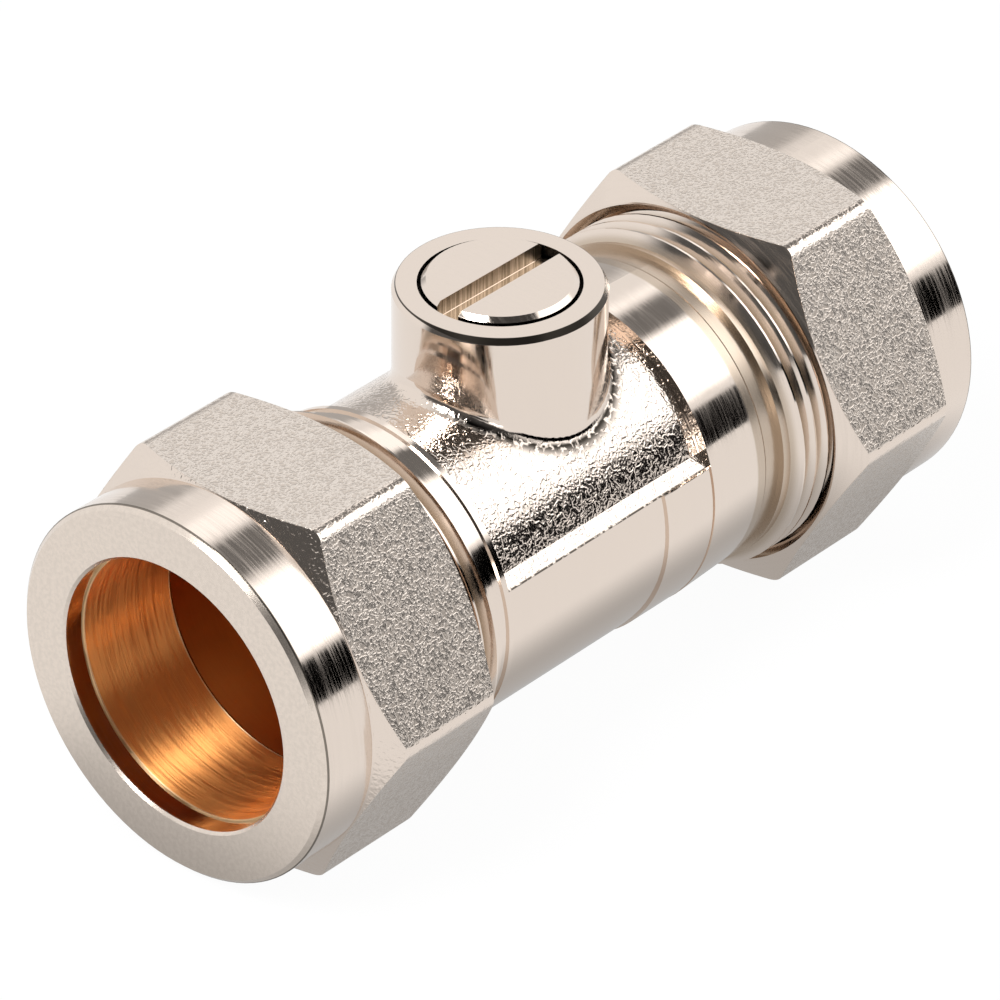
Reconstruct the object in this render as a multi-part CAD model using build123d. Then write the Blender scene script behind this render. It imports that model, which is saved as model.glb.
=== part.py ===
from build123d import *
import math
import os

# Isolating valve for 15 mm pipe, a compression joint at each end
# The pipe runs along X and the spindle stands up along Z
# Every piece is drawn with the ball's centre at the origin and moved to its rest place at the end

# Pipe and the bores that take it
PIPE_R = 7.5
SOCKET_CLEARANCE = 0.10
OLIVE_CLEARANCE = 0.07
NUT_CLEARANCE = 0.17

# Fine thread of the compression ends, drawn as plain cores
THREAD_MAJOR_R = 10.0
THREAD_PITCH = 1.0
MALE_THREAD_DEPTH = 0.6134 * THREAD_PITCH
FEMALE_THREAD_CLEARANCE = 0.03
THREAD_LENGTH = 7.8
THREAD_END_CHAMFER = 0.35

# Distance of each thread's first turn from the spindle axis
NEAR_THREAD_START = 10.2
FAR_THREAD_START = 12.3
PIPE_STOP_BEHIND_THREAD = 1.2

# Copper olive
OLIVE_LENGTH = 6.3
OLIVE_RIM_WALL = 0.40
OLIVE_RISE = 0.78
OLIVE_MIDDLE_LENGTH = 2.0
OLIVE_SEATED = 0.8
OLIVE_SEAT_CLEARANCE = 0.07
OLIVE_END_CLEARANCE = 0.10

# Compression nut
NUT_SIDES = 6
NUT_HALF_FLATS = 10.72
NUT_COLLAR_R = 10.66
NUT_COLLAR_LENGTH = 3.45
NUT_COLLAR_CHAMFER = 0.30
NUT_WEB = 1.25
NUT_BORE_CHAMFER = 0.15
NUT_RIDGE_R = 1.0
NUT_MOUTH_R = 10.5
NUT_RUNOUT = 1.2
NUT_CORNER_ANGLE = 30
NUT_CORNER_BITE = 0.11
EXPOSED_THREAD = 2.85

# Forged body
BARREL_UPPER_R = 8.7
BARREL_LOWER_R = 9.2
BARREL_NEAR_END = 9.5
BARREL_FAR_END = 6.7
END_BEAD_R = 9.33
END_BEAD_LENGTH = 3.7
END_BEAD_CHAMFER = 0.15
NEAR_COLLAR_R = 9.28
NEAR_COLLAR_WIDTH = 0.35
RELIEF_R = 9.16
LEDGE_HEIGHT = 2.6
LEDGE_RISE = 0.62
LEDGE_OVERLAP = 0.06

# Spindle boss
BOSS_R = 5.66
BOSS_FILLET = 0.8
BOSS_EDGE = 0.20
BOSS_EDGE_HEIGHT = 0.35

# Neck of the end piece
NECK_R = 9.36
NECK_TIP_R = 9.18
NECK_LENGTH = 4.45
NECK_GROOVE_R = 9.04
NECK_EDGE = 0.12

# Ball, seats and waterway
BALL_BORE_R = 4.0
BALL_WALL = 2.3
BALL_ROOM = 0.35
SEAT_CLEARANCE = 0.08
SEAT_LIP = 0.15
SEAT_INSET = 0.5
SEAT_THICKNESS = 2.2
SEAT_POCKET_CLEARANCE = 0.04
WATERWAY_STEP = 0.3
WATERWAY_LENGTH = 1.8
PIPE_STOP_R = 6.5

# End piece's spigot in the body
SPIGOT_WALL = 0.66
SPIGOT_OVER_SEAT = 1.1
SPIGOT_RUNOUT = 0.6
SPIGOT_CLEARANCE = 0.05

# Spindle and its seals
SPINDLE_R = 4.12
SPINDLE_CLEARANCE = 0.05
SHOULDER_R = 4.65
SHOULDER_HEIGHT = 1.0
BALL_TO_SHOULDER = 0.45
WASHER_HEIGHT = 0.6
RECESS_GAP = 0.22
RECESS_DEPTH = 1.2
SPINDLE_PROUD = 0.30
SPINDLE_EDGE = 0.25
SLOT_WIDTH = 1.45
SLOT_DEPTH = 0.95
TANG_THICKNESS = 1.9
TANG_WIDTH = 5.2
TANG_DEPTH = 1.6
TANG_CLEARANCE = 0.12
RING_SECTION_R = 0.45
RING_GROOVE_WIDTH = 1.1
WASHER_TO_RING = 1.05
RING_SPACING = 1.7
RING_TO_TOP = 2.3

# Radii and places that follow from the sizes above
SOCKET_R = PIPE_R + SOCKET_CLEARANCE
OLIVE_BORE_R = PIPE_R + OLIVE_CLEARANCE
NUT_BORE_R = PIPE_R + NUT_CLEARANCE
OLIVE_RIM_R = OLIVE_BORE_R + OLIVE_RIM_WALL
OLIVE_MIDDLE_R = OLIVE_RIM_R + OLIVE_RISE
THREAD_CORE_R = THREAD_MAJOR_R - MALE_THREAD_DEPTH
NUT_THREAD_R = THREAD_MAJOR_R + FEMALE_THREAD_CLEARANCE
OLIVE_TAPER = (OLIVE_LENGTH - OLIVE_MIDDLE_LENGTH) / 2
OLIVE_BACK = THREAD_LENGTH - OLIVE_SEATED
OLIVE_FRONT = OLIVE_BACK + OLIVE_LENGTH
NUT_FACE = OLIVE_FRONT + OLIVE_END_CLEARANCE + NUT_WEB
NEAR_FACE = NEAR_THREAD_START + NUT_FACE
FAR_FACE = FAR_THREAD_START + NUT_FACE
BALL_R = BALL_BORE_R + BALL_WALL
SEAT_R = BALL_R + BALL_ROOM
SEAT_BACK = BALL_R - SEAT_INSET
SEAT_BORE_R = BALL_BORE_R + SEAT_LIP
WATERWAY_R = BALL_BORE_R + WATERWAY_STEP
SEAT_POCKET_R = SEAT_R + SEAT_POCKET_CLEARANCE
SPIGOT_R = SEAT_POCKET_R + SPIGOT_WALL
SPIGOT_END = SEAT_BACK - SPIGOT_OVER_SEAT
SHOULDER_BOTTOM = BALL_R + BALL_TO_SHOULDER
SHOULDER_TOP = SHOULDER_BOTTOM + SHOULDER_HEIGHT
WASHER_TOP = SHOULDER_TOP + WASHER_HEIGHT
LOWER_RING_HEIGHT = WASHER_TOP + WASHER_TO_RING
UPPER_RING_HEIGHT = LOWER_RING_HEIGHT + RING_SPACING
BOSS_TOP = UPPER_RING_HEIGHT + RING_TO_TOP
SPINDLE_TOP = BOSS_TOP + SPINDLE_PROUD
SPINDLE_BORE_R = SPINDLE_R + SPINDLE_CLEARANCE

# Rest place, with the resting flats at height zero and half the length each side of the origin
REST_PLACE = Pos((NEAR_FACE - FAR_FACE) / 2, 0, NUT_HALF_FLATS)
NEAR_END = Rot(0, 0, 180) * Pos(NEAR_THREAD_START, 0, 0)
FAR_END = Pos(FAR_THREAD_START, 0, 0)


def turned(*outline):
    """Solid turned about the pipe axis from (distance along X, radius) points."""
    return revolve(Plane.XZ * make_face(Polyline(*outline, close=True)), Axis.X)


def bar(start, end, radius):
    """Plain round bar about the pipe axis."""
    return Pos((start + end) / 2, 0, 0) * Rot(0, 90, 0) * Cylinder(radius, end - start)


def upright(bottom, top, radius):
    """Plain round bar about the spindle axis."""
    return Pos(0, 0, (bottom + top) / 2) * Cylinder(radius, top - bottom)


def olive_seat_radius(along, clearance):
    """Radius of the cone that fits round the olive's inner taper at a distance along the end."""
    slope = OLIVE_RISE / OLIVE_TAPER
    return OLIVE_RIM_R + slope * (along - OLIVE_BACK) + clearance


def threaded_end(relief_length, relief_r):
    """Relief and thread core of one compression end, with distances counted from its first turn."""
    tip_r = THREAD_CORE_R - THREAD_END_CHAMFER
    return turned(
        (-relief_length, 0),
        (-relief_length, relief_r),
        (0, relief_r),
        (0, THREAD_CORE_R),
        (THREAD_LENGTH - THREAD_END_CHAMFER, THREAD_CORE_R),
        (THREAD_LENGTH, tip_r),
        (THREAD_LENGTH, 0),
    )


def end_bore(waterway_end):
    """Pipe socket, pipe stop and the olive's cone in one compression end."""
    socket_end = OLIVE_BACK - OLIVE_END_CLEARANCE
    return turned(
        (waterway_end, 0),
        (waterway_end, WATERWAY_R),
        (-PIPE_STOP_BEHIND_THREAD, PIPE_STOP_R),
        (-PIPE_STOP_BEHIND_THREAD, SOCKET_R),
        (socket_end, SOCKET_R),
        (socket_end, olive_seat_radius(socket_end, OLIVE_SEAT_CLEARANCE)),
        (THREAD_LENGTH, olive_seat_radius(THREAD_LENGTH, OLIVE_SEAT_CLEARANCE)),
        (THREAD_LENGTH, 0),
    )


def olive():
    """Copper ring with a taper at each end."""
    taper_end = OLIVE_BACK + OLIVE_TAPER
    return turned(
        (OLIVE_BACK, OLIVE_BORE_R),
        (OLIVE_BACK, OLIVE_RIM_R),
        (taper_end, OLIVE_MIDDLE_R),
        (taper_end + OLIVE_MIDDLE_LENGTH, OLIVE_MIDDLE_R),
        (OLIVE_FRONT, OLIVE_RIM_R),
        (OLIVE_FRONT, OLIVE_BORE_R),
    )


def nut_hexagon():
    """Hexagon of the nut, lying on one flat, with rounded ridges and turned corners."""
    length = NUT_FACE - NUT_COLLAR_LENGTH - EXPOSED_THREAD
    hexagon = RegularPolygon(NUT_HALF_FLATS, NUT_SIDES, major_radius=False)
    hexagon = fillet(hexagon.vertices(), NUT_RIDGE_R)
    prism = extrude(Plane.YZ * hexagon, length)
    corner_r = NUT_HALF_FLATS / math.cos(math.pi / NUT_SIDES)
    face_r = NUT_HALF_FLATS - NUT_CORNER_BITE
    depth = (corner_r - face_r) * math.tan(math.radians(NUT_CORNER_ANGLE))
    corners = turned(
        (0, 0),
        (0, face_r),
        (depth, corner_r),
        (length - depth, corner_r),
        (length, face_r),
        (length, 0),
    )
    return Pos(EXPOSED_THREAD, 0, 0) * (prism & corners)


def nut_bore():
    """Inside of the nut: mouth, thread, the olive's room, its cone and the pipe's hole."""
    slope = OLIVE_RISE / OLIVE_TAPER
    cone_start = OLIVE_FRONT - OLIVE_TAPER
    web_start = OLIVE_FRONT + OLIVE_END_CLEARANCE
    cone_r = OLIVE_MIDDLE_R + OLIVE_SEAT_CLEARANCE
    web_r = OLIVE_RIM_R + OLIVE_SEAT_CLEARANCE - slope * OLIVE_END_CLEARANCE
    thread_end = THREAD_LENGTH + NUT_RUNOUT
    return turned(
        (EXPOSED_THREAD, 0),
        (EXPOSED_THREAD, NUT_MOUTH_R),
        (EXPOSED_THREAD + NUT_MOUTH_R - NUT_THREAD_R, NUT_THREAD_R),
        (thread_end, NUT_THREAD_R),
        (thread_end + NUT_THREAD_R - cone_r, cone_r),
        (cone_start, cone_r),
        (web_start, web_r),
        (web_start, NUT_BORE_R),
        (NUT_FACE - NUT_BORE_CHAMFER, NUT_BORE_R),
        (NUT_FACE, NUT_BORE_R + NUT_BORE_CHAMFER),
        (NUT_FACE, 0),
    )


def nut():
    """Compression nut, a hexagon with a round collar at its outer end."""
    collar_start = NUT_FACE - NUT_COLLAR_LENGTH
    collar = turned(
        (collar_start, 0),
        (collar_start, NUT_COLLAR_R),
        (NUT_FACE - NUT_COLLAR_CHAMFER, NUT_COLLAR_R),
        (NUT_FACE, NUT_COLLAR_R - NUT_COLLAR_CHAMFER),
        (NUT_FACE, 0),
    )
    return nut_hexagon() + collar - nut_bore()


def forged_barrel():
    """Round barrel with the spindle boss standing on it and a fillet between them."""
    barrel = bar(-BARREL_NEAR_END, BARREL_FAR_END, BARREL_UPPER_R)
    boss = upright(0, BOSS_TOP, BOSS_R)
    forging = barrel + boss
    seam = forging.edges().filter_by(GeomType.BSPLINE)
    forging = fillet(seam, BOSS_FILLET)
    rim = forging.edges().filter_by(GeomType.CIRCLE).sort_by(Axis.Z)[-1]
    top = forging.faces().sort_by(Axis.Z)[-1]
    return chamfer(rim, BOSS_EDGE, BOSS_EDGE_HEIGHT, reference=top)


def lower_barrel():
    """Smooth turned lower half, standing a little proud, with a sloping ledge at its top."""
    bead_start = BARREL_FAR_END - END_BEAD_LENGTH
    shell = turned(
        (-BARREL_NEAR_END, 0),
        (-BARREL_NEAR_END, BARREL_LOWER_R),
        (bead_start, BARREL_LOWER_R),
        (bead_start, END_BEAD_R),
        (BARREL_FAR_END - END_BEAD_CHAMFER, END_BEAD_R),
        (BARREL_FAR_END, END_BEAD_R - END_BEAD_CHAMFER),
        (BARREL_FAR_END, 0),
    )
    edge_y = math.sqrt(BARREL_LOWER_R**2 - LEDGE_HEIGHT**2)
    inner_z = LEDGE_HEIGHT + LEDGE_RISE
    inner_y = math.sqrt(BARREL_UPPER_R**2 - inner_z**2) - LEDGE_OVERLAP
    wide = BARREL_LOWER_R + LEDGE_HEIGHT
    above = Polyline(
        (-wide, LEDGE_HEIGHT), (-edge_y, LEDGE_HEIGHT), (-inner_y, inner_z), (inner_y, inner_z),
        (edge_y, LEDGE_HEIGHT), (wide, LEDGE_HEIGHT), (wide, wide), (-wide, wide), close=True,
    )
    long_enough = BARREL_NEAR_END + BARREL_FAR_END
    return shell - extrude(Plane.YZ * make_face(above), long_enough, both=True)


def chamber():
    """Room for the ball and near seat, and the bore that takes the end piece's spigot."""
    spigot_bore_r = SPIGOT_R + SPIGOT_CLEARANCE
    spigot_bore_start = SPIGOT_END - SPIGOT_RUNOUT
    return turned(
        (-SEAT_BACK - WATERWAY_LENGTH, 0),
        (-SEAT_BACK - WATERWAY_LENGTH, WATERWAY_R),
        (-SEAT_BACK, WATERWAY_R),
        (-SEAT_BACK, SEAT_POCKET_R),
        (spigot_bore_start, SEAT_POCKET_R),
        (spigot_bore_start, spigot_bore_r),
        (BARREL_FAR_END, spigot_bore_r),
        (BARREL_FAR_END, 0),
    )


def spindle_hole():
    """Shoulder pocket, stem bore and the open recess round the spindle's head."""
    pocket = upright(0, WASHER_TOP, SHOULDER_R + SPINDLE_CLEARANCE)
    stem_bore = upright(0, BOSS_TOP, SPINDLE_BORE_R)
    recess = upright(BOSS_TOP - RECESS_DEPTH, BOSS_TOP, SPINDLE_R + RECESS_GAP)
    return pocket + stem_bore + recess


def valve_body():
    """Forged and bored body with the boss and the near compression end."""
    collar = bar(-BARREL_NEAR_END, NEAR_COLLAR_WIDTH - BARREL_NEAR_END, NEAR_COLLAR_R)
    near_thread = NEAR_END * threaded_end(NEAR_THREAD_START - BARREL_NEAR_END, RELIEF_R)
    body = forged_barrel() + lower_barrel() + collar + near_thread
    near_bore = NEAR_END * end_bore(SEAT_BACK + WATERWAY_LENGTH - NEAR_THREAD_START)
    return body - chamber() - near_bore - spindle_hole()


def end_piece():
    """Neck and far compression end, with the spigot that holds the far seat."""
    neck_end = BARREL_FAR_END + NECK_LENGTH
    outer = turned(
        (SPIGOT_END, 0),
        (SPIGOT_END, SPIGOT_R),
        (BARREL_FAR_END, SPIGOT_R),
        (BARREL_FAR_END, NECK_R),
        (neck_end - NECK_EDGE, NECK_TIP_R),
        (neck_end, NECK_TIP_R - NECK_EDGE / 2),
        (FAR_THREAD_START, NECK_GROOVE_R),
        (FAR_THREAD_START, 0),
    )
    seat_pocket = bar(SPIGOT_END, SEAT_BACK, SEAT_POCKET_R)
    waterway = bar(SEAT_BACK, SEAT_BACK + WATERWAY_LENGTH, WATERWAY_R)
    far_bore = FAR_END * end_bore(SEAT_BACK + WATERWAY_LENGTH - FAR_THREAD_START)
    far_thread = FAR_END * threaded_end(NECK_EDGE, NECK_GROOVE_R)
    return outer + far_thread - seat_pocket - waterway - far_bore


def ball():
    """Ball with a through bore along the pipe and a slot across it for the tang."""
    bored = Sphere(BALL_R) - bar(-BALL_R, BALL_R, BALL_BORE_R)
    slot_width = TANG_THICKNESS + 2 * TANG_CLEARANCE
    slot = Pos(0, 0, BALL_R) * Box(slot_width, 2 * BALL_R, 2 * TANG_DEPTH)
    return bored - slot


def far_seat():
    """Seat ring with a round face that follows the ball."""
    face_r = BALL_R + SEAT_CLEARANCE
    front = SEAT_BACK - SEAT_THICKNESS
    lip = math.sqrt(face_r**2 - SEAT_BORE_R**2)
    front_r = math.sqrt(face_r**2 - front**2)
    middle = (math.atan2(SEAT_BORE_R, lip) + math.atan2(front_r, front)) / 2
    middle_point = (face_r * math.cos(middle), face_r * math.sin(middle))
    sides = Polyline(
        (lip, SEAT_BORE_R), (SEAT_BACK, SEAT_BORE_R), (SEAT_BACK, SEAT_R), (front, SEAT_R), (front, front_r)
    )
    round_face = ThreePointArc((front, front_r), middle_point, (lip, SEAT_BORE_R))
    return revolve(Plane.XZ * make_face(sides + round_face), Axis.X)


def near_seat():
    """The same seat ring, turned to face the ball from the near side."""
    return Rot(0, 0, 180) * far_seat()


def ring_groove(height):
    """Groove in the stem that holds a seal ring."""
    bottom = height - RING_GROOVE_WIDTH / 2
    top = height + RING_GROOVE_WIDTH / 2
    return upright(bottom, top, SPINDLE_R) - upright(bottom, top, SPINDLE_R - 2 * RING_SECTION_R)


def spindle():
    """Slotted stem with a shoulder inside the body and a tang in the ball's slot."""
    stem = upright(SHOULDER_TOP, SPINDLE_TOP, SPINDLE_R)
    head_rim = stem.edges().filter_by(GeomType.CIRCLE).sort_by(Axis.Z)[-1]
    stem = chamfer(head_rim, SPINDLE_EDGE)
    shoulder = upright(SHOULDER_BOTTOM, SHOULDER_TOP, SHOULDER_R)
    tang_bottom = BALL_R - TANG_DEPTH + TANG_CLEARANCE
    tang_height = SHOULDER_TOP - tang_bottom
    tang = Pos(0, 0, tang_bottom + tang_height / 2) * Box(TANG_THICKNESS, TANG_WIDTH, tang_height)
    slot = Pos(0, 0, SPINDLE_TOP) * Box(2 * BOSS_R, SLOT_WIDTH, 2 * SLOT_DEPTH)
    grooves = ring_groove(LOWER_RING_HEIGHT) + ring_groove(UPPER_RING_HEIGHT)
    return stem + shoulder + tang - slot - grooves


def spindle_washer():
    """Thrust washer between the spindle's shoulder and the body."""
    return upright(SHOULDER_TOP, WASHER_TOP, SHOULDER_R) - upright(SHOULDER_TOP, WASHER_TOP, SPINDLE_BORE_R)


def seal_ring(height):
    """Round seal ring in its groove in the stem."""
    return Pos(0, 0, height) * Torus(SPINDLE_R - RING_SECTION_R, RING_SECTION_R)


pieces = {
    "valve_body": valve_body(),
    "end_piece": end_piece(),
    "ball": ball(),
    "near_seat": near_seat(),
    "far_seat": far_seat(),
    "spindle": spindle(),
    "spindle_washer": spindle_washer(),
    "lower_o_ring": seal_ring(LOWER_RING_HEIGHT),
    "upper_o_ring": seal_ring(UPPER_RING_HEIGHT),
    "near_nut": NEAR_END * nut(),
    "near_olive": NEAR_END * olive(),
    "far_nut": FAR_END * nut(),
    "far_olive": FAR_END * olive(),
}

os.makedirs("parts", exist_ok=True)
for name, piece in pieces.items():
    export_step(REST_PLACE * piece, f"parts/{name}.step")
    print(name, round(piece.volume, 2))
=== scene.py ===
# %% [markdown]
# An isolating valve for 15 mm pipe, dressed in Blender
#
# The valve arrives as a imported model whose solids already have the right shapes: a forged body,
# an end piece, two compression nuts, two copper olives, and the ball, seats and seals inside.
# This script gives each of them the finish of the real thing, adds the screw threads, which are
# too fine for the solids, and sets up a small photographic studio round it.

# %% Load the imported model
import math

import bpy
from mathutils import Matrix, Vector


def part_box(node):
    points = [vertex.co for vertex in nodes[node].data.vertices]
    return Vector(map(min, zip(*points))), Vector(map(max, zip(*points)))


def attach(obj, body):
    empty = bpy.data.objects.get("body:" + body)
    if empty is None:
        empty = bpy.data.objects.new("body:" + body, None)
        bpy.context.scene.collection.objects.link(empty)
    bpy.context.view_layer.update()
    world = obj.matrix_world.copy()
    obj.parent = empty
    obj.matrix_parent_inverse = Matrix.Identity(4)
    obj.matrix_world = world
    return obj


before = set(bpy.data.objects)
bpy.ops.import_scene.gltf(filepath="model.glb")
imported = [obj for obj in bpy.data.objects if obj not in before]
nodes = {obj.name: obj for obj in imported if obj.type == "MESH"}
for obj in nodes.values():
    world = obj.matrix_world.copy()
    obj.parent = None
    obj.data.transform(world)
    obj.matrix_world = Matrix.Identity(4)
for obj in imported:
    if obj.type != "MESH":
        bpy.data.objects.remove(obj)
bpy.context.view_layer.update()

# %% [markdown]
# Everything on the valve is turned or bored about one of two lines: the pipe's axis along X and
# the spindle's axis along Z. They cross at the ball's centre. Both are measured from the nodes'
# own boxes, so that the finishes and the threads stay in place if the solids move.

# %% Measure the two axes
MM = 0.001


def middle(node):
    """Centre of a node's box."""
    low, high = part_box(node)
    return (low + high) / 2


PIPE_HEIGHT = middle("near_nut").z
SPINDLE_X = middle("spindle").x
CENTRE = Vector((SPINDLE_X, 0, PIPE_HEIGHT))
print("ball's centre in mm", [round(v / MM, 2) for v in CENTRE])

# %% [markdown]
# Materials are built from shader nodes. A few small helpers keep that readable: one adds a node
# and sets or joins its inputs, and one starts a node group with named inputs and outputs, so
# that an effect that several metals share is built only once.


# %% Helpers for shader nodes
def join(tree, value, socket):
    """Feeds a socket with another node's output, or sets it to a plain value."""
    if isinstance(value, bpy.types.NodeSocket):
        tree.links.new(value, socket)
    else:
        socket.default_value = value


def add(tree, kind, inputs=None, **settings):
    """Adds a shader node, with its settings and its inputs by name or number."""
    made = tree.nodes.new("ShaderNode" + kind)
    for name, value in settings.items():
        setattr(made, name, value)
    for name, value in (inputs or {}).items():
        join(tree, value, made.inputs[name])
    return made


def new_group(name, inputs, outputs):
    """Starts a node group and returns it with its input and output nodes."""
    group = bpy.data.node_groups.new(name, "ShaderNodeTree")
    for label, kind, value in inputs:
        made = group.interface.new_socket(label, in_out="INPUT", socket_type="NodeSocket" + kind)
        if value is not None:
            made.default_value = value
    for label, kind in outputs:
        group.interface.new_socket(label, in_out="OUTPUT", socket_type="NodeSocket" + kind)
    return group, group.nodes.new("NodeGroupInput"), group.nodes.new("NodeGroupOutput")


def use(tree, group, inputs):
    """Places a node group in a material and returns the node."""
    made = tree.nodes.new("ShaderNodeGroup")
    made.node_tree = group
    for name, value in inputs.items():
        join(tree, value, made.inputs[name])
    return made


# %% [markdown]
# A mask is a value that is one where a finish belongs and zero elsewhere. Masks are made by
# arithmetic on the place of a point, so the product of two masks is where both hold, and the
# larger of two is where either holds. An eased ramp gives a mask a soft edge, which keeps the
# border between two finishes from looking cut out.


# %% Helpers for arithmetic
def calc(tree, operation, *values):
    """Result of a Math node."""
    made = add(tree, "Math", dict(enumerate(values)), operation=operation)
    return made.outputs[0]


def times(tree, value, *others):
    """Product of all the values. For masks, it is where all of them hold."""
    for other in others:
        value = calc(tree, "MULTIPLY", value, other)
    return value


def most(tree, value, *others):
    """Largest of the values. For masks, it is where any of them holds."""
    for other in others:
        value = calc(tree, "MAXIMUM", value, other)
    return value


def size_of(tree, value):
    """The value without its sign."""
    return calc(tree, "ABSOLUTE", value)


def length_of(tree, a, b):
    """Length of the two sides a and b put at right angles."""
    return calc(tree, "SQRT", calc(tree, "ADD", times(tree, a, a), times(tree, b, b)))


def ramp(tree, value, start, end, low=0.0, high=1.0):
    """Value eased from low at start to high at end."""
    made = add(tree, "MapRange", {"Value": value, "From Min": start, "From Max": end,
                                  "To Min": low, "To Max": high},
               interpolation_type="SMOOTHSTEP")
    return made.outputs["Result"]


# %% [markdown]
# Each solid carries several finishes: a nut has rough forged flats but a smooth turned collar.
# The first group turns a point of the surface into plain engineering measures, in millimetres
# from the ball's centre: the distances along, across and up, and the radii round the two axes.
# "Flats" is how far the point lies from the pipe's axis towards the nearest of the six flats.
# A finish can then be told to stay on the flats, or on the barrel above the ledge.

# %% Group: place on the valve
measures = ("Along", "Across", "Up", "Pipe Radius", "Spindle Radius", "Flats")
place_group, given, result = new_group(
    "place_on_valve", [("Vector", "Vector", None)],
    [(name, "Float") for name in measures] + [("Millimetres", "Vector")])
moved = add(place_group, "VectorMath", {0: given.outputs["Vector"], 1: CENTRE},
            operation="SUBTRACT")
in_mm = add(place_group, "VectorMath", {0: moved.outputs[0], "Scale": 1 / MM}, operation="SCALE")
along, across, up = add(place_group, "SeparateXYZ", {0: in_mm.outputs[0]}).outputs
towards_flats = []
for turn in (0, 60, 120):
    sideways = times(place_group, across, math.sin(math.radians(turn)))
    upwards = times(place_group, up, math.cos(math.radians(turn)))
    away = calc(place_group, "ADD", sideways, upwards)
    towards_flats.append(size_of(place_group, away))
outs = {"Along": along, "Across": across, "Up": up,
        "Flats": most(place_group, *towards_flats),
        "Pipe Radius": length_of(place_group, across, up),
        "Spindle Radius": length_of(place_group, along, across),
        "Millimetres": in_mm.outputs[0]}
for name, socket in outs.items():
    place_group.links.new(socket, result.inputs[name])
print(place_group.name, "gives", ", ".join(outs))

# %% [markdown]
# A hot forging takes the skin of its die. Under nickel plate it shows as short, curled, raised
# grains about a quarter of a millimetre across, like orange peel. Folding a smooth noise about
# its middle value turns its contour lines into ridges that curl in this way, and warping the
# place first keeps them from lining up.

# %% Group: forged skin
forged_group, given, result = new_group(
    "forged_skin", [("Vector", "Vector", None), ("Grain", "Float", 2.4), ("Warp", "Float", 0.3)],
    [("Height", "Float"), ("Softness", "Float")])
warp = add(forged_group, "TexNoise",
           {"Vector": given.outputs["Vector"], "Scale": 1.3, "Detail": 1.0})
shift = add(forged_group, "VectorMath",
            {0: warp.outputs["Color"], "Scale": given.outputs["Warp"]}, operation="SCALE")
bent = add(forged_group, "VectorMath",
           {0: given.outputs["Vector"], 1: shift.outputs[0]}, operation="ADD")
grain = add(forged_group, "TexNoise",
            {"Vector": bent.outputs[0], "Scale": given.outputs["Grain"], "Detail": 1.5,
             "Roughness": 0.55})
folded = size_of(forged_group, calc(forged_group, "SUBTRACT", grain.outputs["Fac"], 0.5))
ridges = ramp(forged_group, folded, 0.0, 0.17, 1.0, 0.0)
hills = ramp(forged_group, grain.outputs["Fac"], 0.35, 0.65)
forged_group.links.new(ridges, result.inputs["Height"])
forged_group.links.new(hills, result.inputs["Softness"])
print(forged_group.name, "gives ridges and soft hills")

# %% [markdown]
# A lathe tool leaves fine rings. They are a noise that changes quickly across the rings and
# hardly at all along them, so the group takes one number, the distance across the rings, and
# a place for the slow changes.

# %% Group: turning marks
turning_group, given, result = new_group(
    "turning_marks",
    [("Across Rings", "Float", 0.0), ("Vector", "Vector", None), ("Rings", "Float", 9.0)],
    [("Height", "Float"), ("Streak", "Float")])
slow = add(turning_group, "VectorMath", {0: given.outputs["Vector"], "Scale": 0.25},
           operation="SCALE")
spread = times(turning_group, given.outputs["Across Rings"], given.outputs["Rings"])
fast = add(turning_group, "CombineXYZ", {"X": spread})
rings_place = add(turning_group, "VectorMath", {0: slow.outputs[0], 1: fast.outputs[0]},
                  operation="ADD")
rings = add(turning_group, "TexNoise", {"Vector": rings_place.outputs[0], "Scale": 1.0,
                                        "Detail": 3.0, "Roughness": 0.6}).outputs["Fac"]
turning_group.links.new(rings, result.inputs["Height"])
turning_group.links.new(ramp(turning_group, rings, 0.38, 0.62), result.inputs["Streak"])
print(turning_group.name, "gives fine rings")

# %% [markdown]
# Nickel plate is a warm, slightly yellow silver. Its colour was set by the white table that the
# smooth lower barrel mirrors. Plate in deep places is painted browner, as painted shade for light
# that bounces in it more than once and is tinted each time.


# %% Start a material
def start_material(name, colour, metallic=1.0):
    """New material with one shader, a metal's unless told otherwise, and its tree and shader."""
    made = bpy.data.materials.new(name)
    made.use_nodes = True
    shader = made.node_tree.nodes["Principled BSDF"]
    shader.inputs["Base Color"].default_value = (*colour, 1)
    shader.inputs["Metallic"].default_value = metallic
    return made, made.node_tree, shader


def placed(tree):
    """Place on the valve of the surface point, as named outputs."""
    here = add(tree, "TexCoord")
    return use(tree, place_group, {"Vector": here.outputs["Object"]}).outputs


# %% Zones, and mixes of two finishes
def between(tree, value, low, high, soft):
    """One where a value lies between low and high, with soft edges."""
    rise = ramp(tree, value, low - soft, low + soft)
    fall = ramp(tree, value, high - soft, high + soft, 1.0, 0.0)
    return times(tree, rise, fall)


def mix(tree, factor, a, b):
    """Value between a and b."""
    made = add(tree, "Mix", {0: factor, 2: a, 3: b}, data_type="FLOAT")
    return made.outputs[0]


def as_colour(value):
    """A colour of three numbers with its alpha, or a socket as it is."""
    return (*value, 1) if isinstance(value, tuple) else value


def mix_colour(tree, factor, a, b):
    """Colour between a and b."""
    made = add(tree, "Mix", {0: factor, 6: as_colour(a), 7: as_colour(b)}, data_type="RGBA")
    return made.outputs[2]


# %% Marks on the surface
def turned_marks(tree, at, across_rings, **settings):
    """Height and streaks of the rings that a lathe tool leaves."""
    inputs = {"Across Rings": across_rings, "Vector": at["Millimetres"], **settings}
    return use(tree, turning_group, inputs).outputs


def forged_skin(tree, at, grain, warp):
    """Height and softer hills of a forged skin."""
    inputs = {"Vector": at["Millimetres"], "Grain": grain, "Warp": warp}
    return use(tree, forged_group, inputs).outputs


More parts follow.
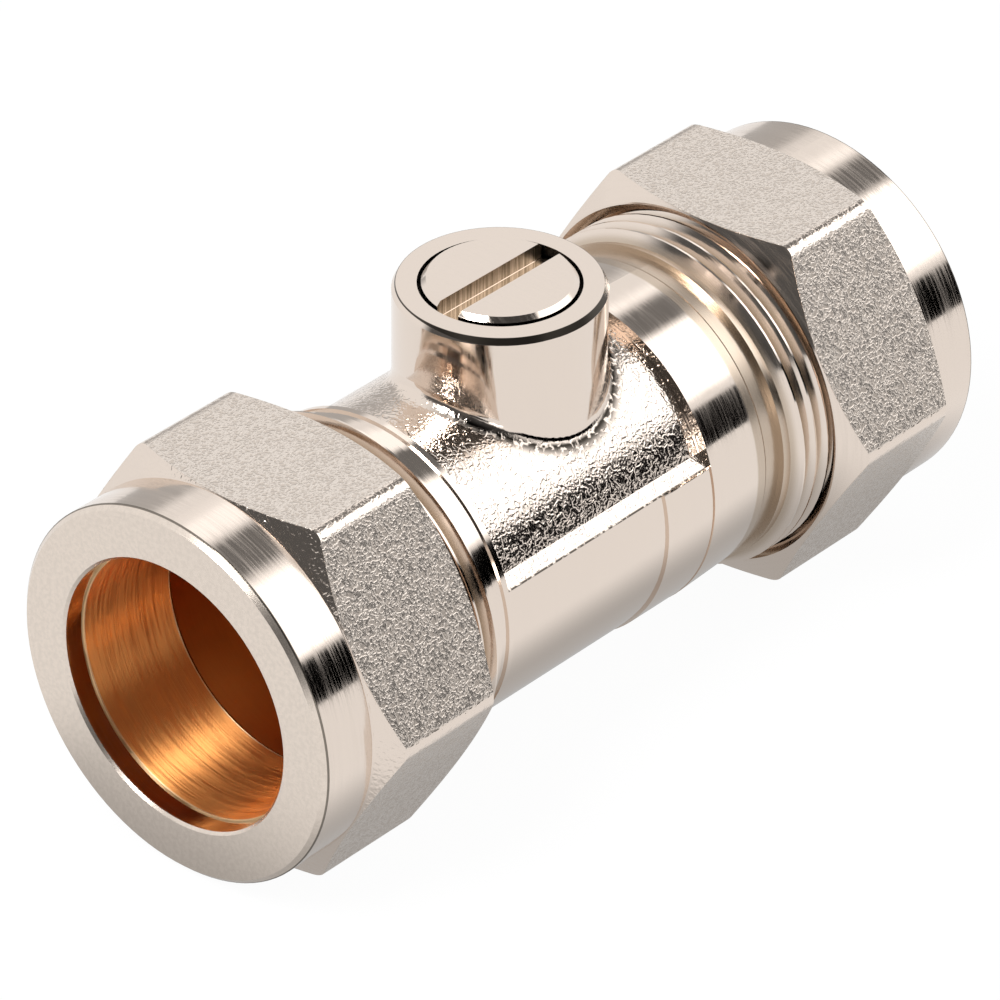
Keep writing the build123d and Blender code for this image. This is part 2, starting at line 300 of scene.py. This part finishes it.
def set_bump(tree, shader, height, strength, depth):
    """Raises the surface by a height, of which 1 stands for the depth in millimetres."""
    bump = add(tree, "Bump", {"Height": height, "Strength": strength, "Distance": depth * MM})
    tree.links.new(bump.outputs[0], shader.inputs["Normal"])


# %% Colours of the metals
NICKEL = (0.78, 0.68, 0.60)
DULL_NICKEL = (0.78, 0.70, 0.63)
CREVICE_SHADE_NICKEL = (0.66, 0.58, 0.51)
FACE_NICKEL = (0.74, 0.65, 0.57)
PALE_FACE_NICKEL = tuple(1.06 * share for share in FACE_NICKEL)
PAINTED_SHADE_BROWN = (0.50, 0.40, 0.30)
PAINTED_DEEP_SHADE_BROWN = (0.22, 0.17, 0.11)
PAINTED_EDGE_SHADE = (0.22, 0.19, 0.16)
PAINTED_SHADE_LINE = (0.07, 0.06, 0.05)
BLACK_SHADE = (0.025, 0.021, 0.017)
COPPER = (0.93, 0.42, 0.13)
PAINTED_GLINT_COPPER = (1.0, 0.72, 0.42)
SHADED_SOCKET_COPPER = (0.62, 0.24, 0.06)
print("plain nickel", NICKEL, "and copper", COPPER)

# %% Roughness of the finishes, as one value or from the valleys of the marks to their tops
COLLAR_ROUGH = (0.08, 0.20)
FACE_ROUGH = 0.26
CORNER_ROUGH = 0.14
FLATS_ROUGH = (0.38, 0.26)
BODY_ROUGH = (0.06, 0.12)
FORGED_ROUGH = 0.13
SOCKET_ROUGH = (0.34, 0.44)
RIM_ROUGH = 0.3
SPINDLE_ROUGH = (0.06, 0.14)
DULL_ROUGH = 0.32
OLIVE_ROUGH = (0.34, 0.56)
BALL_ROUGH = (0.03, 0.08)
PTFE_ROUGH = (0.38, 0.55)
RUBBER_ROUGH = (0.45, 0.65)
print("the glossiest piece is the ball, at", BALL_ROUGH)

# %% [markdown]
# The nuts: the six flats keep the matt forged skin, the outer corners and the ridges have the
# same skin but brighter, and the collar, the inner corners and the end face are turned. Each
# zone is found by plain distances: the flats by their distance from the axis, the rest by the
# radius and by how far along the pipe they lie. The collar's outer edge carries a fine painted
# dark line, a painted dark reflection in its chamfer.

# %% Sizes of the nuts in millimetres
HALF_FLATS = (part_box("near_nut")[1].z - PIPE_HEIGHT) / MM
NUT_FACE_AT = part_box("far_nut")[1].x / MM
NUT_MOUTH_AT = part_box("far_nut")[0].x / MM
CORNER_CUT = 1.05
COLLAR_LENGTH = 3.45
COLLAR_R = 10.66
COLLAR_CHAMFER = 0.30
print("half the flats", round(HALF_FLATS, 2), "length", round(NUT_FACE_AT - NUT_MOUTH_AT, 2))


# %% Measure from the middle of the valve's length
def from_length_middle(tree, at):
    """Distance from the middle of the valve's length, the same for both ends."""
    return size_of(tree, calc(tree, "ADD", at["Along"], SPINDLE_X / MM))


# %% Material: nickel-plated nut
nut_nickel, tree, shader = start_material("nickel_nut", NICKEL)
at = placed(tree)
from_middle = from_length_middle(tree, at)
collar_at = NUT_FACE_AT - COLLAR_LENGTH
on_flats = times(tree, ramp(tree, at["Flats"], HALF_FLATS - 0.03, HALF_FLATS - 0.008),
                 ramp(tree, from_middle, collar_at - 0.05, collar_at, 1.0, 0.0))
on_face = ramp(tree, from_middle, NUT_FACE_AT - 0.28, NUT_FACE_AT - 0.24)
corners_from = NUT_MOUTH_AT + CORNER_CUT
on_corners = times(tree, ramp(tree, at["Pipe Radius"], COLLAR_R + 0.04, COLLAR_R + 0.12),
                   ramp(tree, from_middle, corners_from, corners_from + 0.25))
# A fine dark line painted at the collar's outer edge, a painted dark reflection on its chamfer
edge_from = NUT_FACE_AT - COLLAR_CHAMFER - 0.05
painted_edge_shade_mask = times(tree, ramp(tree, from_middle, edge_from, edge_from + 0.01),
                ramp(tree, at["Pipe Radius"], COLLAR_R - 0.08, COLLAR_R - 0.05))
skin = forged_skin(tree, at, grain=3.6, warp=0.25)
marks = turned_marks(tree, at, mix(tree, on_face, at["Along"], at["Pipe Radius"]), Rings=11.0)

rough = mix(tree, on_face, mix(tree, marks["Streak"], *COLLAR_ROUGH), FACE_ROUGH)
rough = mix(tree, on_corners, rough, CORNER_ROUGH)
rough = mix(tree, on_flats, rough, mix(tree, skin["Height"], *FLATS_ROUGH))
tree.links.new(rough, shader.inputs["Roughness"])

cloudy = mix_colour(tree, skin["Softness"], FACE_NICKEL, PALE_FACE_NICKEL)
colour = mix_colour(tree, on_face, NICKEL, cloudy)
colour = mix_colour(tree, painted_edge_shade_mask, colour, PAINTED_EDGE_SHADE)
# The flats' grain is painted darker between its ridges, as painted shade in the hollows
grain_and_painted_shade = mix_colour(tree, skin["Height"], CREVICE_SHADE_NICKEL, DULL_NICKEL)
colour = mix_colour(tree, on_flats, colour, grain_and_painted_shade)
tree.links.new(colour, shader.inputs["Base Color"])

relief = mix(tree, on_corners, times(tree, marks["Height"], 0.10), skin["Softness"])
relief = mix(tree, on_flats, relief, skin["Height"])
set_bump(tree, shader, relief, strength=0.7, depth=0.018)
print(nut_nickel.name, "has", len(tree.nodes), "nodes")

# %% [markdown]
# The body: the barrel above the ledge is as it came from the die, with a glossier skin than the
# flats of the nuts, and everything below the ledge, the boss and the near end are turned. The
# sockets that take the pipe are orange, because the plating bath hardly reaches into them, and
# are painted a darker copper than the olives, as painted shade deep in the bore.
#
# Four thin places on it are painted almost black, as painted shade and painted dark reflections:
# the broken edge of the boss, which is widest on the side to the camera's right, the recess round
# the spindle, the foot of the ledge, and the hollow where the boss grows out of the barrel, which
# the forged skin breaks up.

# %% Sizes of the body in millimetres from the ball's centre
BOSS_TOP = (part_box("valve_body")[1].z - PIPE_HEIGHT) / MM
BOSS_R = 5.66
BOSS_EDGE = 0.20
BOSS_EDGE_HEIGHT = 0.35
RECESS_R = 4.34
RECESS_DEPTH = 1.2
LEDGE_AT = 2.6
FORGED_FROM, FORGED_TO = -9.1, 6.6
SOCKET_R = 7.6
SOCKET_FROM = 8.4
print("top of the boss at", round(BOSS_TOP, 2))


# %% Places inside the pipe sockets
def in_socket(tree, at):
    """One on the walls that take the pipe."""
    return times(tree, ramp(tree, at["Pipe Radius"], SOCKET_R + 0.15, SOCKET_R + 0.30, 1.0, 0.0),
                 ramp(tree, size_of(tree, at["Along"]), SOCKET_FROM, SOCKET_FROM + 0.2))


# %% Material: nickel-plated body
body_nickel, tree, shader = start_material("nickel_body", NICKEL)
at = placed(tree)
on_barrel = times(tree, between(tree, at["Along"], FORGED_FROM, FORGED_TO, 0.05),
                  ramp(tree, at["Spindle Radius"], BOSS_R + 0.06, BOSS_R + 0.29))
forged = times(tree, ramp(tree, at["Up"], LEDGE_AT - 0.15, LEDGE_AT), on_barrel)
skin = forged_skin(tree, at, grain=2.9, warp=0.35)
marks = turned_marks(tree, at, at["Along"])
socket = in_socket(tree, at)

# Distance from the spindle's axis to the camera's right, for the edge and the hollow
RIGHT_BY_ALONG, RIGHT_BY_ACROSS = 0.66, 0.75
to_right = calc(tree, "SUBTRACT", times(tree, at["Along"], RIGHT_BY_ALONG),
                times(tree, at["Across"], RIGHT_BY_ACROSS))
inner_rim_r = BOSS_R - BOSS_EDGE
lowest_rim = BOSS_TOP - BOSS_EDGE_HEIGHT + 0.01
# Painted dark reflection on the boss's broken edge, wider towards the camera's right
rim_from = ramp(tree, to_right, -5.0, -0.5, BOSS_TOP - 0.07, lowest_rim)
painted_rim_shade = times(tree, ramp(tree, at["Spindle Radius"], inner_rim_r - 0.04, inner_rim_r),
            ramp(tree, calc(tree, "SUBTRACT", at["Up"], rim_from), -0.01, 0.01))
# Painted shade in the recess round the spindle
painted_recess_shade = times(tree, ramp(tree, at["Spindle Radius"], RECESS_R + 0.01, RECESS_R + 0.03, 1.0, 0.0),
               between(tree, at["Up"], BOSS_TOP - RECESS_DEPTH - 0.3, BOSS_TOP - 0.04, 0.02))
painted_rim_shade = most(tree, painted_rim_shade, painted_recess_shade)
# Painted shade along the foot of the ledge, broken up by the forged skin
painted_ledge_shade = times(tree, between(tree, at["Up"], LEDGE_AT - 0.04, LEDGE_AT + 0.05, 0.03),
                   on_barrel, ramp(tree, skin["Softness"], 0.1, 0.5, 0.35, 1.0))
# Painted dark reflection in the hollow at the boss's foot, towards the camera's right
painted_boss_foot_shade = times(tree, ramp(tree, at["Spindle Radius"], BOSS_R, BOSS_R + 0.14),
                  ramp(tree, at["Spindle Radius"], BOSS_R + 0.29, BOSS_R + 1.04, 1.0, 0.0),
                  ramp(tree, to_right, -4.2, -1.5), forged,
                  ramp(tree, skin["Softness"], 0.05, 0.6, 0.25, 1.0))

rough = mix(tree, marks["Streak"], *BODY_ROUGH)
rough = mix(tree, forged, rough, FORGED_ROUGH)
rough = mix(tree, socket, rough, mix(tree, marks["Streak"], *SOCKET_ROUGH))
tree.links.new(mix(tree, painted_rim_shade, rough, RIM_ROUGH), shader.inputs["Roughness"])

# The sockets are orange and painted darker, as painted shade deep in the bore
colour = mix_colour(tree, socket, NICKEL, SHADED_SOCKET_COPPER)
colour = mix_colour(tree, most(tree, painted_rim_shade, painted_ledge_shade), colour, PAINTED_SHADE_LINE)
colour = mix_colour(tree, painted_boss_foot_shade, colour, BLACK_SHADE)
tree.links.new(colour, shader.inputs["Base Color"])

curled = mix(tree, 0.6, skin["Softness"], skin["Height"])
turned = times(tree, marks["Height"], mix(tree, socket, 0.08, 0.7))
relief = mix(tree, forged, turned, times(tree, curled, 1.5))
set_bump(tree, shader, relief, strength=0.7, depth=0.020)
print(body_nickel.name, "has", len(tree.nodes), "nodes")

# %% [markdown]
# The turned pieces have fine rings all round. Light bounces several times between the walls of
# the screw slot and in the roots of the thread, so both are painted browner, as painted shade,
# and are duller than the rest, and the narrow gap round the spindle is painted almost black, as
# painted shade.

# %% Sizes of the turned pieces in millimetres from the ball's centre
SPINDLE_TOP = (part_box("spindle")[1].z - PIPE_HEIGHT) / MM
SPINDLE_R = 4.12
SLOT_DEPTH = 0.95
HALF_SLOT = 0.725
ROOT_R, FLANK_R = 9.42, 9.90
ROOT_FROM = 10.3
print("top of the spindle at", round(SPINDLE_TOP, 2))

# %% Material: nickel-plated turned pieces
turned_nickel, tree, shader = start_material("nickel_turned", NICKEL)
at = placed(tree)
marks = turned_marks(tree, at, at["Along"])
socket = in_socket(tree, at)
slot_floor = SPINDLE_TOP - SLOT_DEPTH
from_slot = size_of(tree, at["Across"])
in_slot = times(tree, ramp(tree, from_slot, HALF_SLOT + 0.01, HALF_SLOT + 0.025, 1.0, 0.0),
                between(tree, at["Up"], slot_floor + 0.03, SPINDLE_TOP - 0.03, 0.01))
in_gap = times(tree, ramp(tree, at["Spindle Radius"], SPINDLE_R - 0.03, SPINDLE_R - 0.01),
               between(tree, at["Up"], BOSS_TOP - RECESS_DEPTH - 0.3, BOSS_TOP - 0.02, 0.02))
root = times(tree, ramp(tree, at["Pipe Radius"], ROOT_R, FLANK_R, 1.0, 0.0),
             ramp(tree, size_of(tree, at["Along"]), ROOT_FROM, ROOT_FROM + 0.2))
dull_and_painted_shade = most(tree, in_slot, times(tree, root, 0.7))

rough = mix(tree, marks["Streak"], *SPINDLE_ROUGH)
rough = mix(tree, dull_and_painted_shade, rough, DULL_ROUGH)
rough = mix(tree, socket, rough, mix(tree, marks["Streak"], *SOCKET_ROUGH))
tree.links.new(rough, shader.inputs["Roughness"])

# Painted shade: the slot and the thread's roots painted browner, the slot in streaks
colour = mix_colour(tree, dull_and_painted_shade, NICKEL, PAINTED_SHADE_BROWN)
streaky_painted_shade = mix_colour(tree, marks["Streak"], PAINTED_DEEP_SHADE_BROWN, PAINTED_SHADE_BROWN)
colour = mix_colour(tree, in_slot, colour, streaky_painted_shade)
# Painted shade: the gap round the spindle painted almost black
colour = mix_colour(tree, in_gap, colour, PAINTED_SHADE_LINE)
# The sockets are orange and painted darker, as painted shade deep in the bore
colour = mix_colour(tree, socket, colour, SHADED_SOCKET_COPPER)
tree.links.new(colour, shader.inputs["Base Color"])
set_bump(tree, shader, marks["Height"], strength=0.5, depth=0.004)
print(turned_nickel.name, "has", len(tree.nodes), "nodes")

# %% [markdown]
# The olives are bare copper, turned inside with a fine tool. Such rings spread a reflection
# along the pipe and keep it narrow round it, so the light lies on the wall in bands. The
# shader's anisotropy does this, with its direction taken round the pipe's axis. Both rims of
# an olive carry a painted glint, a brighter copper painted on as a highlight.

# %% Ends of an olive in millimetres from the middle of the valve's length
OLIVE_BACK_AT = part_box("far_olive")[0].x / MM
OLIVE_FRONT_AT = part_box("far_olive")[1].x / MM
print("olive from", round(OLIVE_BACK_AT, 2), "to", round(OLIVE_FRONT_AT, 2))

# %% Material: turned copper
copper, tree, shader = start_material("copper", COPPER)
at = placed(tree)
marks = turned_marks(tree, at, at["Along"], Rings=12.0)
from_middle = from_length_middle(tree, at)
# Painted glints: both rims of an olive painted a brighter copper
painted_rim_glints = most(tree, ramp(tree, from_middle, OLIVE_BACK_AT + 0.06, OLIVE_BACK_AT + 0.12, 1.0, 0.0),
            ramp(tree, from_middle, OLIVE_FRONT_AT - 0.12, OLIVE_FRONT_AT - 0.06))
tree.links.new(mix(tree, marks["Streak"], *OLIVE_ROUGH), shader.inputs["Roughness"])
tree.links.new(mix_colour(tree, painted_rim_glints, COPPER, PAINTED_GLINT_COPPER), shader.inputs["Base Color"])
round_pipe = add(tree, "Tangent", direction_type="RADIAL", axis="X")
tree.links.new(round_pipe.outputs[0], shader.inputs["Tangent"])
shader.inputs["Anisotropic"].default_value = 0.95
shader.inputs["Anisotropic Rotation"].default_value = 0.25
set_bump(tree, shader, marks["Height"], strength=0.8, depth=0.025)
print(copper.name, "has", len(tree.nodes), "nodes")

# %% [markdown]
# The pieces inside the valve are simpler: a chromed ball, turned PTFE rings and seals of black
# rubber. They show only when the valve is taken apart or looked into.

# %% Material: chromed ball, PTFE and rubber
CHROME_GREY = (0.86, 0.87, 0.88)
WAXY_WHITE = (0.90, 0.89, 0.85)
RUBBER_BLACK = (0.02, 0.02, 0.022)

chrome, tree, shader = start_material("chromed_ball", CHROME_GREY)
at = placed(tree)
marks = turned_marks(tree, at, at["Up"])
tree.links.new(mix(tree, marks["Streak"], *BALL_ROUGH), shader.inputs["Roughness"])

ptfe, tree, shader = start_material("white_ptfe", WAXY_WHITE, metallic=0.0)
at = placed(tree)
marks = turned_marks(tree, at, at["Along"])
tree.links.new(mix(tree, marks["Streak"], *PTFE_ROUGH), shader.inputs["Roughness"])

rubber, tree, shader = start_material("seal_rubber", RUBBER_BLACK, metallic=0.0)
at = placed(tree)
dust = add(tree, "TexNoise", {"Vector": at["Millimetres"], "Scale": 3.0})
tree.links.new(mix(tree, dust.outputs["Fac"], *RUBBER_ROUGH), shader.inputs["Roughness"])

# %% [markdown]
# A material belongs to a mesh, so each solid's mesh gives up the plain colour that it was packed
# with and takes its finish. The solids themselves stay as they are.

# %% Put each finish on its solids
finishes = {
    nut_nickel: ("near_nut", "far_nut"),
    body_nickel: ("valve_body",),
    turned_nickel: ("end_piece", "spindle"),
    copper: ("near_olive", "far_olive"),
    chrome: ("ball",),
    ptfe: ("near_seat", "far_seat", "spindle_washer"),
    rubber: ("lower_o_ring", "upper_o_ring"),
}
for material, names in finishes.items():
    for name in names:
        mesh = nodes[name].data
        mesh.materials.clear()
        mesh.materials.append(material)
    print(material.name, "on", ", ".join(names))

# %% [markdown]
# The compression ends carry a fine screw thread of 20 mm by 1 mm. The solids have only its
# plain core, so the turns are made here. One turn's section is drawn as a small triangle with
# a blunt crest, and the Screw modifier winds it up, as a thread cutter does. Male ridges ride
# on the housing and female ridges on the nuts, a small clearance apart.

# %% Sizes of the thread
PITCH = 1.0 * MM
MAJOR_R = 10.0 * MM
CORE_R = MAJOR_R - 0.6134 * PITCH
FEMALE_R = 10.03 * MM
FEMALE_CREST_R = 9.47 * MM
NEAR_START = SPINDLE_X - 10.2 * MM
FAR_START = SPINDLE_X + 12.3 * MM
THREAD_LENGTH = 7.8 * MM
NUT_THREAD_START = 3.5 * MM
NUT_THREAD_LENGTH = 5.5 * MM
SUNK = 0.02 * MM
FOOT_SHARE, CREST_SHARE = 0.05, 0.44
STEPS = 72
SHARP_ANGLE = math.radians(50)
print("thread", 2 * MAJOR_R / MM, "mm by", PITCH / MM, "mm")


# %% Wind one thread
def wind(name, body, slot, start, side, length, root_r, crest_r, material):
    """Helical ridge about the pipe axis, from start along the side's direction."""
    bpy.ops.object.select_all(action="DESELECT")
    bpy.ops.mesh.primitive_plane_add(size=1.0)
    ridge = bpy.context.object
    ridge.name = name

    # The plane's four corners become the section: two feet sunk in the core, and the crest
    foot_r = root_r - SUNK * (1 if crest_r > root_r else -1)
    section = [(FOOT_SHARE * PITCH, foot_r), ((1 - FOOT_SHARE) * PITCH, foot_r),
               ((1 - CREST_SHARE) * PITCH, crest_r), (CREST_SHARE * PITCH, crest_r)]
    corners_in_turn = [ridge.data.vertices[i] for i in (0, 1, 3, 2)]
    for vertex, (advance, radius) in zip(corners_in_turn, section):
        vertex.co = (0, radius, advance)
    bpy.ops.object.mode_set(mode="EDIT")
    bpy.ops.mesh.select_all(action="SELECT")
    bpy.ops.mesh.delete(type="ONLY_FACE")
    bpy.ops.object.mode_set(mode="OBJECT")

    # Wound about Z, one pitch for each turn, a turn short of the end's full length
    turns = int(length / PITCH) - 1
    screw = ridge.modifiers.new("wind", "SCREW")
    screw.axis = "Z"
    screw.angle = 2 * math.pi
    screw.screw_offset = PITCH
    screw.iterations = turns
    screw.steps = screw.render_steps = STEPS
    screw.use_smooth_shade = True
    bpy.ops.object.modifier_apply(modifier="wind")

    # The two open ends are closed, and the ridge is laid along the pipe
    bpy.ops.object.mode_set(mode="EDIT")
    bpy.ops.mesh.select_all(action="DESELECT")
    bpy.ops.mesh.select_non_manifold()
    bpy.ops.mesh.edge_face_add()
    bpy.ops.mesh.select_all(action="SELECT")
    bpy.ops.object.mode_set(mode="OBJECT")
    turn = Matrix.Rotation(math.radians(90 * side), 4, "Y")
    ridge.data.transform(Matrix.Translation((start, 0, PIPE_HEIGHT)) @ turn)
    bpy.ops.object.mode_set(mode="EDIT")
    bpy.ops.mesh.select_all(action="SELECT")
    bpy.ops.mesh.normals_make_consistent(inside=False)
    bpy.ops.object.mode_set(mode="OBJECT")
    ridge.data.materials.append(material)
    bpy.ops.object.shade_smooth_by_angle(angle=SHARP_ANGLE)
    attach(ridge, body)
    print(name, turns, "turns,", len(ridge.data.polygons), "faces")


# %% Wind the four threads
male = (THREAD_LENGTH, CORE_R, MAJOR_R, turned_nickel)
female = (NUT_THREAD_LENGTH, FEMALE_R, FEMALE_CREST_R, turned_nickel)
wind("near_thread", "housing", "nickel_forged", NEAR_START, -1, *male)
wind("far_thread", "housing", "nickel_turned", FAR_START, 1, *male)
wind("near_nut_thread", "near_nut", "nickel_forged", NEAR_START - NUT_THREAD_START, -1, *female)
wind("far_nut_thread", "far_nut", "nickel_forged", FAR_START + NUT_THREAD_START, 1, *female)

# %% [markdown]
# The studio is a white table under a white sky, with glowing boxes that make the highlights and
# dark cards that give the bright metal its dark bands. The boxes and cards stand outside the
# picture and are hidden from the camera. The table is white to the camera and in the metal,
# where a painted shadow makes it a little darker close to the valve, and it keeps a soft shadow.

# %% Floor
# Sizes in metres. In the metal the table's white carries a painted shadow, darker over the
# valve's length and width, which eases back to its full value a little way outside them
TABLE_SIZE = 6.0
HALF_LENGTH, HALF_WIDTH, SHADE_WIDTH = 0.026, 0.009, 0.010
SHADE_NEAR, SHADE_FAR = 0.50, 0.97
SEEN_WHITE = 0.96
bpy.ops.object.select_all(action="DESELECT")
bpy.ops.mesh.primitive_plane_add(size=TABLE_SIZE)
floor = bpy.context.object
floor.name = "floor"
white = bpy.data.materials.new("white_table")
white.use_nodes = True
tree = white.node_tree
tree.nodes.clear()
ray = add(tree, "LightPath").outputs
paper = add(tree, "BsdfDiffuse", {"Color": (0.9, 0.9, 0.9, 1)})
here = add(tree, "TexCoord")
x, y, _ = add(tree, "SeparateXYZ", {0: here.outputs["Object"]}).outputs
past_end = most(tree, calc(tree, "SUBTRACT", size_of(tree, x), HALF_LENGTH), 0.0)
past_side = most(tree, calc(tree, "SUBTRACT", size_of(tree, y), HALF_WIDTH), 0.0)
painted_shadow_strength = ramp(tree, length_of(tree, past_end, past_side), 0.0, SHADE_WIDTH,
                      SHADE_NEAR, SHADE_FAR)
# In the metal the table's glow is weaker near the valve, a painted shadow
glow = add(tree, "Emission", {"Color": (1, 1, 1, 1),
                              "Strength": mix(tree, ray["Is Glossy Ray"], 1.0, painted_shadow_strength)})
share = most(tree, times(tree, ray["Is Camera Ray"], SEEN_WHITE),
             most(tree, ray["Is Glossy Ray"], ray["Is Transmission Ray"]))
blend = add(tree, "MixShader", {0: share, 1: paper.outputs[0], 2: glow.outputs[0]})
add(tree, "OutputMaterial", {"Surface": blend.outputs[0]})
floor.data.materials.append(white)
print("white table of", TABLE_SIZE, "m")

# %% [markdown]
# The sky is one plain white. It is full white where it is seen, directly or in the metal, and a
# little weaker as a light, so that the light of the boxes counts beside it.

# %% World
SKY_LIGHT, SKY_SEEN = 0.75, 1.0
world = bpy.data.worlds.new("studio")
bpy.context.scene.world = world
world.use_nodes = True
tree = world.node_tree
tree.nodes.clear()
ray = add(tree, "LightPath").outputs
seen = most(tree, ray["Is Camera Ray"], ray["Is Glossy Ray"], ray["Is Transmission Ray"])
strength = mix(tree, seen, SKY_LIGHT, SKY_SEEN)
light = add(tree, "Background", {"Color": (1, 1, 1, 1), "Strength": strength})
add(tree, "OutputWorld", {"Surface": light.outputs[0]})
print("white sky, strength", SKY_SEEN, "where it is seen and", SKY_LIGHT, "as light")

# %% [markdown]
# Each box or card is a plane that faces the valve. It is given by two angles seen from the
# valve, round and up, by the width and height that it covers, also as angles in degrees, and by
# how strongly it glows. Its soft edge is a share of its half width, and its distance is in
# metres. One that doesn't light the valve is only mirrored in it, and leaves the table alone.


# %% Cards and soft boxes
def card(name, azimuth, elevation, width, height, strength, soft=0.3, distance=0.6, lights=True):
    """Plane that faces the valve, glowing or black, with soft edges."""
    a, e = math.radians(azimuth), math.radians(elevation)
    direction = Vector((math.cos(a) * math.cos(e), math.sin(a) * math.cos(e), math.sin(e)))
    half_width = math.tan(math.radians(width / 2)) * distance
    half_height = math.tan(math.radians(height / 2)) * distance
    bpy.ops.object.select_all(action="DESELECT")
    bpy.ops.mesh.primitive_plane_add(size=2.0)
    made = bpy.context.object
    made.name = name
    made.scale = (half_width, half_height, 1)
    made.location = CENTRE + direction * distance
    made.rotation_mode = "QUATERNION"
    made.rotation_quaternion = direction.to_track_quat("Z", "Y")
    finish = bpy.data.materials.new(name)
    finish.use_nodes = True
    tree = finish.node_tree
    tree.nodes.clear()
    here = add(tree, "TexCoord")
    x, y, _ = add(tree, "SeparateXYZ", {0: here.outputs["Object"]}).outputs
    inside = times(tree, ramp(tree, size_of(tree, x), 1 - soft, 1.0, 1.0, 0.0),
                   ramp(tree, size_of(tree, y), 1 - soft, 1.0, 1.0, 0.0))
    glow = add(tree, "Emission", {"Color": (1, 1, 1, 1), "Strength": strength})
    clear = add(tree, "BsdfTransparent")
    blend = add(tree, "MixShader", {0: inside, 1: clear.outputs[0], 2: glow.outputs[0]})
    add(tree, "OutputMaterial", {"Surface": blend.outputs[0]})
    made.data.materials.append(finish)
    made.visible_camera = False
    made.visible_shadow = False
    made.visible_diffuse = lights
    print(name, "at", azimuth, "and", elevation, "degrees, strength", strength)


card("key_box", -38, 38, 52, 34, 2.2)
card("back_box", 32, 45, 20, 18, 1.4, soft=0.5)
card("bore_box", 178, 54, 22, 26, 20.0, distance=0.5)
card("low_box", -128, 2, 12, 14, 6.0, soft=0.4, distance=0.5, lights=False)
card("front_flag", -72, 7, 69, 31, 0.0, soft=0.22, distance=0.7, lights=False)
card("left_flag", -165, 6, 80, 26, 0.08, soft=0.4, distance=0.7, lights=False)
card("room", -138, 45, 90, 62, 0.06, soft=0.3, distance=0.75, lights=False)
card("mouth_flag", 180, 16, 84, 60, 0.10, soft=0.4, distance=0.68, lights=False)
card("gap_flag", 4, 51, 30, 26, 0.18, soft=0.5, distance=0.7, lights=False)
card("side_flag", 55, 10, 60, 38, 0.5, soft=0.4, distance=0.7, lights=False)

# %% [markdown]
# The camera looks down at the valve from the front left with a long lens, so its lines hardly
# converge. Its place was fitted to the rims, ridges and the boss in the photograph. The aim is
# given as metres to the right of the ball's centre and above it.

# %% Camera
AZIMUTH, ELEVATION, ROLL = math.radians(-48.385), math.radians(33.643), math.radians(0.464)
DISTANCE, AIM_RIGHT, AIM_UP = 0.372994, 0.000083, -0.000155
LENS_MM = 253.727
NEAREST_SEEN = 0.01
back = Vector((math.sin(AZIMUTH) * math.cos(ELEVATION), -math.cos(AZIMUTH) * math.cos(ELEVATION),
               math.sin(ELEVATION)))
level = Vector((math.cos(AZIMUTH), math.sin(AZIMUTH), 0))
upward = back.cross(level)
aim = CENTRE + level * AIM_RIGHT + upward * AIM_UP
right = level * math.cos(ROLL) + upward * math.sin(ROLL)
top = upward * math.cos(ROLL) - level * math.sin(ROLL)
camera = bpy.data.objects.new("camera", bpy.data.cameras.new("camera"))
bpy.context.scene.collection.objects.link(camera)
facing = Matrix((right, top, back)).transposed().to_4x4()
camera.matrix_world = Matrix.Translation(aim + back * DISTANCE) @ facing
camera.data.lens = LENS_MM
camera.data.clip_start = NEAREST_SEEN
bpy.context.scene.camera = camera
bpy.context.scene.view_settings.view_transform = "Standard"
print("camera", DISTANCE, "m away with a lens of", LENS_MM, "mm")
